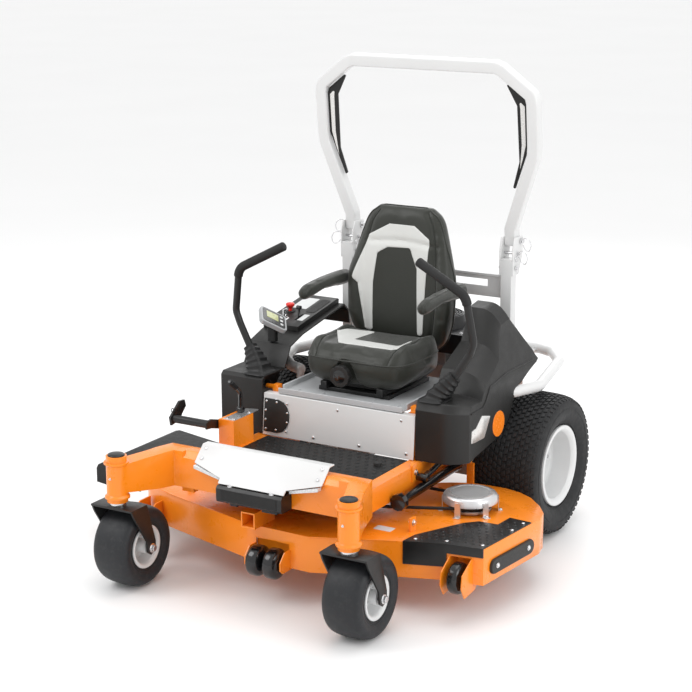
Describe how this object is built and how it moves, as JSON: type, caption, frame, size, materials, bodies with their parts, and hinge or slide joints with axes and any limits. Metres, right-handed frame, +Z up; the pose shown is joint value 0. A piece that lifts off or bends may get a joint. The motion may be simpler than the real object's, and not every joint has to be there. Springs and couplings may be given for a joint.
{
  "type": "zero turn mower",
  "caption": "Ride-on zero turn mower with side-discharge deck, suspended seat between two lap-bar levers and a folding roll bar.",
  "frame": {"origin": "on the ground, below the middle of the whole machine's bounding box", "axes": "+Z up, the machine drives towards -Y, +X is the operator's left"},
  "size_m": [1.886, 2.1108, 1.9947],
  "materials": {
    "orange_paint": "gloss",
    "white_paint": "gloss",
    "black_paint": "satin",
    "grey_paint": "satin",
    "cover_plastic": "textured",
    "red_plastic": "gloss",
    "lens": "clear",
    "display_plastic": "satin",
    "engine_shroud": "satin",
    "cast_alloy": "cast",
    "bare_steel": "ground",
    "tyre": "moulded",
    "rubber": "matte",
    "vinyl": "grained"
  },
  "bodies": {
    "chassis": {"main_frame": "orange_paint", "front_panel": "white_paint", "light_bar": "lens", "front_bumper": "black_paint", "foot_platform": "black_paint", "seat_box_panel": "white_paint", "inspection_cover": "cover_plastic", "left_fender": "cover_plastic", "right_fender": "cover_plastic", "control_console": "cover_plastic", "display": "display_plastic", "engine_block": "cast_alloy", "engine_shroud": "engine_shroud", "muffler": "bare_steel", "left_transaxle": "cast_alloy", "right_transaxle": "cast_alloy", "rear_bumper": "white_paint", "rops_base": "white_paint", "lift_strut": "black_paint", "left_boot": "rubber", "right_boot": "rubber"},
    "roll_hoop": {"rops_hoop": "white_paint", "left_reflector_guard": "cover_plastic", "right_reflector_guard": "cover_plastic"},
    "seat_frame": {"seat_plate": "grey_paint", "seat_suspension": "black_paint"},
    "seat": {"seat_cushion": "vinyl", "seat_back": "vinyl"},
    "seat_adjust_knob": {"seat_knob": "cover_plastic"},
    "left_arm": {"left_armrest": "vinyl"},
    "right_arm": {"right_armrest": "vinyl"},
    "left_yoke": {"left_lever_yoke": "bare_steel"},
    "left_lap_bar": {"left_lever": "black_paint"},
    "right_yoke": {"right_lever_yoke": "bare_steel"},
    "right_lap_bar": {"right_lever": "black_paint"},
    "blade_switch": {"pto_knob": "red_plastic"},
    "throttle": {"throttle_lever": "black_paint"},
    "key": {"ignition_key": "bare_steel"},
    "pedal": {"lift_pedal": "black_paint"},
    "height_selector": {"height_lever": "black_paint"},
    "left_caster": {"left_caster_fork": "black_paint"},
    "left_caster_wheel": {"left_caster_tyre": "tyre", "left_caster_rim": "white_paint"},
    "right_caster": {"right_caster_fork": "black_paint"},
    "right_caster_wheel": {"right_caster_tyre": "tyre", "right_caster_rim": "white_paint"},
    "left_drive_wheel": {"left_rear_tyre": "tyre", "left_rear_rim": "white_paint"},
    "right_drive_wheel": {"right_rear_tyre": "tyre", "right_rear_rim": "white_paint"},
    "deck": {"deck_shell": "orange_paint", "step_plate": "black_paint", "drive_belt": "rubber"},
    "left_blade": {"left_spindle": "bare_steel"},
    "center_blade": {"center_spindle": "bare_steel"},
    "right_blade": {"right_spindle": "bare_steel"},
    "middle_rollers": {"center_rollers": "rubber"},
    "left_corner_roller": {"left_roller": "rubber"},
    "right_corner_roller": {"right_roller": "rubber"},
    "chute": {"discharge_chute": "rubber"}
  },
  "joints": [
    {"name": "left_caster_swivel", "type": "hinge", "parent": "chassis", "child": "left_caster", "pos_m": [0.574, -0.9724, 0.46], "axis": [0, 0, 1], "continuous": true},
    {"name": "left_caster_roll", "type": "hinge", "parent": "left_caster", "child": "left_caster_wheel", "pos_m": [0.574, -0.8904, 0.165], "axis": [1, 0, 0], "continuous": true},
    {"name": "left_drive", "type": "hinge", "parent": "chassis", "child": "left_drive_wheel", "pos_m": [0.625, 0.4766, 0.305], "axis": [1, 0, 0], "continuous": true},
    {"name": "left_lever_drive", "type": "hinge", "parent": "chassis", "child": "left_yoke", "pos_m": [0.46, -0.1134, 0.65], "axis": [-1, 0, 0], "range_deg": [-20, 15], "deforming": ["left_boot"]},
    {"name": "left_lever_swing", "type": "hinge", "parent": "left_yoke", "child": "left_lap_bar", "pos_m": [0.46, -0.1134, 0.65], "axis": [0, 1, 0], "range_deg": [-25, 0], "deforming": ["left_boot"]},
    {"name": "left_armrest_lift", "type": "hinge", "parent": "seat", "child": "left_arm", "pos_m": [0.332, 0.3666, 1.035], "axis": [-1, 0, 0], "range_deg": [0, 90]},
    {"name": "right_caster_swivel", "type": "hinge", "parent": "chassis", "child": "right_caster", "pos_m": [-0.48, -0.9724, 0.46], "axis": [0, 0, 1], "continuous": true},
    {"name": "right_caster_roll", "type": "hinge", "parent": "right_caster", "child": "right_caster_wheel", "pos_m": [-0.48, -0.8904, 0.165], "axis": [1, 0, 0], "continuous": true},
    {"name": "right_drive", "type": "hinge", "parent": "chassis", "child": "right_drive_wheel", "pos_m": [-0.531, 0.4766, 0.305], "axis": [1, 0, 0], "continuous": true},
    {"name": "right_lever_drive", "type": "hinge", "parent": "chassis", "child": "right_yoke", "pos_m": [-0.366, -0.1134, 0.65], "axis": [-1, 0, 0], "range_deg": [-20, 15], "deforming": ["right_boot"]},
    {"name": "right_lever_swing", "type": "hinge", "parent": "right_yoke", "child": "right_lap_bar", "pos_m": [-0.366, -0.1134, 0.65], "axis": [0, -1, 0], "range_deg": [-25, 0], "deforming": ["right_boot"]},
    {"name": "right_armrest_lift", "type": "hinge", "parent": "seat", "child": "right_arm", "pos_m": [-0.238, 0.3666, 1.035], "axis": [-1, 0, 0], "range_deg": [0, 90]},
    {"name": "roll_hoop_fold", "type": "hinge", "parent": "chassis", "child": "roll_hoop", "pos_m": [0.047, 0.6446, 1.222], "axis": [1, 0, 0], "range_deg": [-100, 0]},
    {"name": "seat_tilt", "type": "hinge", "parent": "chassis", "child": "seat_frame", "pos_m": [0.047, -0.1634, 0.636], "axis": [1, 0, 0], "range_deg": [0, 55]},
    {"name": "seat_slide", "type": "slide", "parent": "seat_frame", "child": "seat", "axis": [0, 1, 0], "range_m": [-0.075, 0.06]},
    {"name": "seat_knob_turn", "type": "hinge", "parent": "seat", "child": "seat_adjust_knob", "pos_m": [0.017, -0.0834, 0.735], "axis": [0, 1, 0], "continuous": true},
    {"name": "blade_switch_pull", "type": "slide", "parent": "chassis", "child": "blade_switch", "axis": [0, 0, 1], "range_m": [0, 0.012]},
    {"name": "throttle_move", "type": "hinge", "parent": "chassis", "child": "throttle", "pos_m": [-0.401, 0.2466, 0.852], "axis": [1, 0, 0], "range_deg": [-20, 20]},
    {"name": "key_turn", "type": "hinge", "parent": "chassis", "child": "key", "pos_m": [-0.453, 0.2146, 0.86], "axis": [0, 0, 1], "range_deg": [0, 90]},
    {"name": "deck_lift", "type": "slide", "parent": "chassis", "child": "deck", "axis": [0, 0, 1], "range_m": [-0.085, 0.01]},
    {"name": "lift_pedal_press", "type": "hinge", "parent": "chassis", "child": "pedal", "pos_m": [-0.383, -0.3434, 0.531], "axis": [1, 0, 0], "range_deg": [-32, 4]},
    {"name": "height_selector_move", "type": "hinge", "parent": "chassis", "child": "height_selector", "pos_m": [-0.348, -0.3004, 0.589], "axis": [-1, 0, 0], "range_deg": [0, 30]},
    {"name": "chute_lift", "type": "hinge", "parent": "deck", "child": "chute", "pos_m": [-0.674, -0.2434, 0.292], "axis": [0, 1, 0], "range_deg": [0, 75]},
    {"name": "center_blade_spin", "type": "hinge", "parent": "deck", "child": "center_blade", "pos_m": [0.132, -0.4034, 0.25], "axis": [0, 0, 1], "continuous": true},
    {"name": "left_blade_spin", "type": "hinge", "parent": "deck", "child": "left_blade", "pos_m": [0.657, -0.1634, 0.25], "axis": [0, 0, 1], "continuous": true},
    {"name": "right_blade_spin", "type": "hinge", "parent": "deck", "child": "right_blade", "pos_m": [-0.393, -0.1634, 0.25], "axis": [0, 0, 1], "continuous": true},
    {"name": "middle_roller_roll", "type": "hinge", "parent": "deck", "child": "middle_rollers", "pos_m": [0.093, -0.7914, 0.165], "axis": [1, 0, 0], "continuous": true},
    {"name": "left_roller_roll", "type": "hinge", "parent": "deck", "child": "left_corner_roller", "pos_m": [0.816, -0.5754, 0.168], "axis": [1, 0, 0], "continuous": true},
    {"name": "right_roller_roll", "type": "hinge", "parent": "deck", "child": "right_corner_roller", "pos_m": [-0.593, -0.6554, 0.168], "axis": [1, 0, 0], "continuous": true}
  ],
  "couplings": [
    {"joint": "left_blade_spin", "follows": "center_blade_spin", "ratio": 1},
    {"joint": "right_blade_spin", "follows": "center_blade_spin", "ratio": 1},
    {"joint": "lift_pedal_press", "follows": "deck_lift", "rad_per_m": 6.4}
  ]
}
